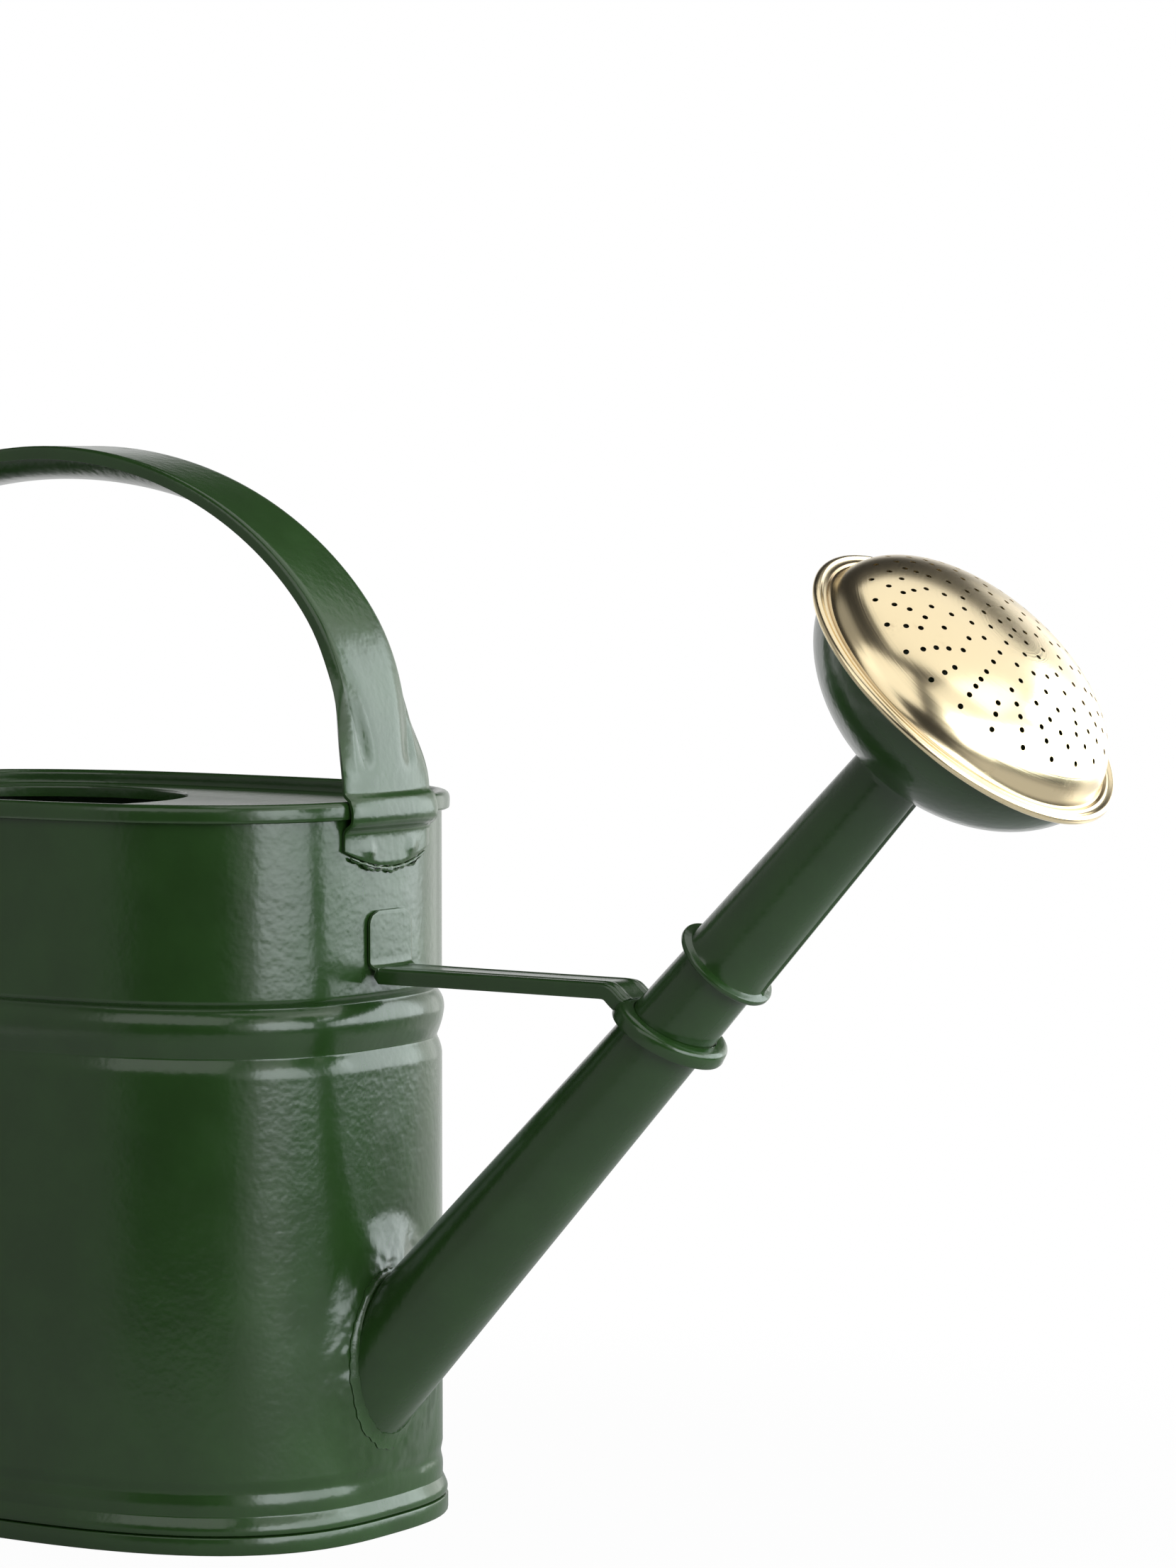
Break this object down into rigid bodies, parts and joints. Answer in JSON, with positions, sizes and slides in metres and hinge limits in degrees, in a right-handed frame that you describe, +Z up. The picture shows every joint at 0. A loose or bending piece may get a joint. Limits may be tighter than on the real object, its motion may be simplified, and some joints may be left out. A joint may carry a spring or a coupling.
{
  "type": "watering can",
  "caption": "Oval sheet-metal watering can with an arched strap handle, a braced slanting spout and a pull-off sprinkling rose with a domed brass face.",
  "frame": {"origin": "centre of the bounding box on the ground plane", "axes": "+X towards the spout, +Y across the can, +Z up"},
  "size_m": [0.4714, 0.1394, 0.3197],
  "materials": {
    "green_paint": "glossy dark green powder coat with a slight orange peel",
    "brass": "spun and polished, lightly tarnished in the groove"
  },
  "bodies": {
    "can": {"body_shell": "green_paint", "base_plate": "green_paint", "top_deck": "green_paint", "handle_strap": "green_paint", "handle_grip_liner": "green_paint", "handle_front_solder": "green_paint", "handle_rear_solder": "green_paint", "brace": "green_paint", "spout_tube": "green_paint", "spout_solder": "green_paint"},
    "rose": {"rose_socket": "green_paint", "rose_bowl": "green_paint", "rose_face": "brass"}
  },
  "joints": [
    {"name": "rose_pull", "type": "slide", "parent": "can", "child": "rose", "axis": [0.6924, 0, 0.7215], "range_m": [0, 0.04]}
  ]
}
